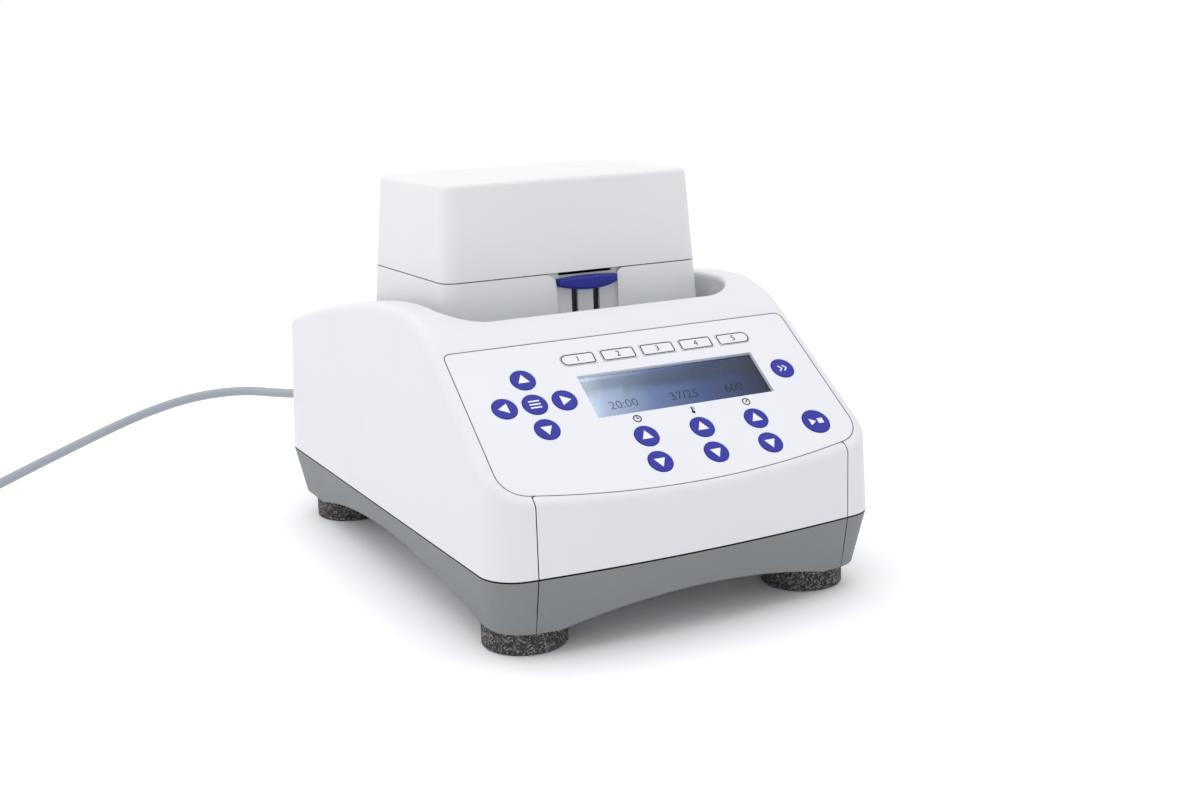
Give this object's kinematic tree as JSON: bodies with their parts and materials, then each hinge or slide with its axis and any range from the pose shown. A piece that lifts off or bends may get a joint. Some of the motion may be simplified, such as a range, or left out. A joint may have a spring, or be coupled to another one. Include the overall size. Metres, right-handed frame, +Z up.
{
  "type": "thermal mixer",
  "caption": "Bench-top orbital mixer with a heated and cooled shaking block under a lift-off lid, a sloping keypad with display, and a mains lead.",
  "frame": {"origin": "centre of the footprint of the machine without its lead, on the surface that the feet stand on", "axes": "+X to the right seen from the keypad, -Y towards the keypad, +Z up"},
  "size_m": [0.4795, 0.4585, 0.202],
  "materials": {
    "housing": "satin moulded white",
    "tub": "fine textured grey",
    "foam_rubber": "speckled cellular rubber",
    "liner": "satin moulded white",
    "keypad_foil": "printed matt foil",
    "circuit_board": "green solder mask",
    "display_window": "clear",
    "display_module": "liquid crystal panel",
    "steel_plate": "zinc plated",
    "screw_steel": "bright",
    "motor_metal": "cast",
    "bearing_steel": "polished",
    "shaft_steel": "ground",
    "machined_aluminium": "machined",
    "ceramic": "white ceramic",
    "block_plastic": "fine textured light grey",
    "lever_plastic": "satin black",
    "grip_plastic": "satin blue",
    "seal_rubber": "black silicone",
    "black_plastic": "satin black",
    "rocker_plastic": "gloss black",
    "cord_plastic": "grey flexible sheath",
    "key_blue": "satin blue",
    "key_white": "satin white"
  },
  "bodies": {
    "base": {"base_tub": "tub", "casing_fasteners": "screw_steel", "chassis_plate": "steel_plate", "cord_coil": "cord_plastic", "display_module": "display_module", "display_window": "display_window", "fan_frame": "black_plastic", "front_fascia": "housing", "front_skirt": "tub", "keypad_board": "circuit_board", "keypad_overlay": "keypad_foil", "main_bearings": "bearing_steel", "mains_connector": "cord_plastic", "mains_cord": "cord_plastic", "mains_inlet": "black_plastic", "mains_plug": "cord_plastic", "motor_stator": "motor_metal", "power_supply": "circuit_board", "rubber_feet": "foam_rubber", "switch_frame": "black_plastic", "upper_housing": "housing", "usb_port": "screw_steel", "well_floor": "liner", "well_liner": "liner"},
    "drive_rotor": {"drive_shaft": "shaft_steel"},
    "table": {"shaker_table": "machined_aluminium", "table_bearing": "bearing_steel", "heat_sink": "machined_aluminium", "peltier_modules": "ceramic", "contact_plate": "machined_aluminium"},
    "crank_1": {"guide_crank_1": "shaft_steel"},
    "crank_2": {"guide_crank_2": "shaft_steel"},
    "crank_3": {"guide_crank_3": "shaft_steel"},
    "block": {"block_housing": "block_plastic", "block_core": "machined_aluminium", "lever_pin": "screw_steel", "lid_seal": "seal_rubber"},
    "lever": {"lever_legs": "lever_plastic", "lever_grip": "grip_plastic"},
    "lid": {"block_lid": "block_plastic"},
    "rocker": {"power_rocker": "rocker_plastic"},
    "fan": {"fan_rotor": "black_plastic"},
    "key_down_cap": {"key_down": "key_blue"},
    "key_left_cap": {"key_left": "key_blue"},
    "key_menu_cap": {"key_menu": "key_blue"},
    "key_program_1_cap": {"key_program_1": "key_white"},
    "key_program_2_cap": {"key_program_2": "key_white"},
    "key_program_3_cap": {"key_program_3": "key_white"},
    "key_program_4_cap": {"key_program_4": "key_white"},
    "key_program_5_cap": {"key_program_5": "key_white"},
    "key_right_cap": {"key_right": "key_blue"},
    "key_short_cap": {"key_short": "key_blue"},
    "key_speed_down_cap": {"key_speed_down": "key_blue"},
    "key_speed_up_cap": {"key_speed_up": "key_blue"},
    "key_start_cap": {"key_start": "key_blue"},
    "key_temp_down_cap": {"key_temp_down": "key_blue"},
    "key_temp_up_cap": {"key_temp_up": "key_blue"},
    "key_time_down_cap": {"key_time_down": "key_blue"},
    "key_time_up_cap": {"key_time_up": "key_blue"},
    "key_up_cap": {"key_up": "key_blue"}
  },
  "joints": [
    {"name": "drive_spin", "type": "hinge", "parent": "base", "child": "drive_rotor", "pos_m": [0, 0.0198, 0.05], "axis": [0, 0, 1], "continuous": true},
    {"name": "table_counterturn", "type": "hinge", "parent": "drive_rotor", "child": "table", "pos_m": [0, 0.0213, 0.075], "axis": [0, 0, 1], "continuous": true},
    {"name": "crank_1_spin", "type": "hinge", "parent": "base", "child": "crank_1", "pos_m": [-0.044, -0.0112, 0.06], "axis": [0, 0, 1], "continuous": true},
    {"name": "crank_2_spin", "type": "hinge", "parent": "base", "child": "crank_2", "pos_m": [0.044, -0.0112, 0.06], "axis": [0, 0, 1], "continuous": true},
    {"name": "crank_3_spin", "type": "hinge", "parent": "base", "child": "crank_3", "pos_m": [0, 0.0653, 0.06], "axis": [0, 0, 1], "continuous": true},
    {"name": "block_lift", "type": "slide", "parent": "table", "child": "block", "axis": [0, 0, 1], "range_m": [0, 0.05]},
    {"name": "lid_lift", "type": "slide", "parent": "block", "child": "lid", "axis": [0, 0, 1], "range_m": [0, 0.06]},
    {"name": "lever_swing", "type": "hinge", "parent": "block", "child": "lever", "pos_m": [0.0059, -0.0232, 0.119], "axis": [1, 0, 0], "range_deg": [0, 30]},
    {"name": "rocker_tip", "type": "hinge", "parent": "base", "child": "rocker", "pos_m": [-0.02, 0.142, 0.0545], "axis": [1, 0, 0], "range_deg": [-16, 0]},
    {"name": "fan_spin", "type": "hinge", "parent": "base", "child": "fan", "pos_m": [0.04, 0.14, 0.08], "axis": [0, 1, 0], "continuous": true},
    {"name": "key_down_press", "type": "slide", "parent": "base", "child": "key_down_cap", "axis": [0, 0.6066, -0.795], "range_m": [0, 0.0004], "stiffness_N_per_m": 1500},
    {"name": "key_left_press", "type": "slide", "parent": "base", "child": "key_left_cap", "axis": [0, 0.6066, -0.795], "range_m": [0, 0.0004], "stiffness_N_per_m": 1500},
    {"name": "key_menu_press", "type": "slide", "parent": "base", "child": "key_menu_cap", "axis": [0, 0.6066, -0.795], "range_m": [0, 0.0004], "stiffness_N_per_m": 1500},
    {"name": "key_program_1_press", "type": "slide", "parent": "base", "child": "key_program_1_cap", "axis": [0, 0.6066, -0.795], "range_m": [0, 0.0004], "stiffness_N_per_m": 1500},
    {"name": "key_program_2_press", "type": "slide", "parent": "base", "child": "key_program_2_cap", "axis": [0, 0.6066, -0.795], "range_m": [0, 0.0004], "stiffness_N_per_m": 1500},
    {"name": "key_program_3_press", "type": "slide", "parent": "base", "child": "key_program_3_cap", "axis": [0, 0.6066, -0.795], "range_m": [0, 0.0004], "stiffness_N_per_m": 1500},
    {"name": "key_program_4_press", "type": "slide", "parent": "base", "child": "key_program_4_cap", "axis": [0, 0.6066, -0.795], "range_m": [0, 0.0004], "stiffness_N_per_m": 1500},
    {"name": "key_program_5_press", "type": "slide", "parent": "base", "child": "key_program_5_cap", "axis": [0, 0.6066, -0.795], "range_m": [0, 0.0004], "stiffness_N_per_m": 1500},
    {"name": "key_right_press", "type": "slide", "parent": "base", "child": "key_right_cap", "axis": [0, 0.6066, -0.795], "range_m": [0, 0.0004], "stiffness_N_per_m": 1500},
    {"name": "key_short_press", "type": "slide", "parent": "base", "child": "key_short_cap", "axis": [0, 0.6066, -0.795], "range_m": [0, 0.0004], "stiffness_N_per_m": 1500},
    {"name": "key_speed_down_press", "type": "slide", "parent": "base", "child": "key_speed_down_cap", "axis": [0, 0.6066, -0.795], "range_m": [0, 0.0004], "stiffness_N_per_m": 1500},
    {"name": "key_speed_up_press", "type": "slide", "parent": "base", "child": "key_speed_up_cap", "axis": [0, 0.6066, -0.795], "range_m": [0, 0.0004], "stiffness_N_per_m": 1500},
    {"name": "key_start_press", "type": "slide", "parent": "base", "child": "key_start_cap", "axis": [0, 0.6066, -0.795], "range_m": [0, 0.0004], "stiffness_N_per_m": 1500},
    {"name": "key_temp_down_press", "type": "slide", "parent": "base", "child": "key_temp_down_cap", "axis": [0, 0.6066, -0.795], "range_m": [0, 0.0004], "stiffness_N_per_m": 1500},
    {"name": "key_temp_up_press", "type": "slide", "parent": "base", "child": "key_temp_up_cap", "axis": [0, 0.6066, -0.795], "range_m": [0, 0.0004], "stiffness_N_per_m": 1500},
    {"name": "key_time_down_press", "type": "slide", "parent": "base", "child": "key_time_down_cap", "axis": [0, 0.6066, -0.795], "range_m": [0, 0.0004], "stiffness_N_per_m": 1500},
    {"name": "key_time_up_press", "type": "slide", "parent": "base", "child": "key_time_up_cap", "axis": [0, 0.6066, -0.795], "range_m": [0, 0.0004], "stiffness_N_per_m": 1500},
    {"name": "key_up_press", "type": "slide", "parent": "base", "child": "key_up_cap", "axis": [0, 0.6066, -0.795], "range_m": [0, 0.0004], "stiffness_N_per_m": 1500}
  ],
  "couplings": [
    {"joint": "table_counterturn", "follows": "drive_spin", "ratio": -1},
    {"joint": "crank_1_spin", "follows": "drive_spin", "ratio": 1},
    {"joint": "crank_2_spin", "follows": "drive_spin", "ratio": 1},
    {"joint": "crank_3_spin", "follows": "drive_spin", "ratio": 1}
  ]
}
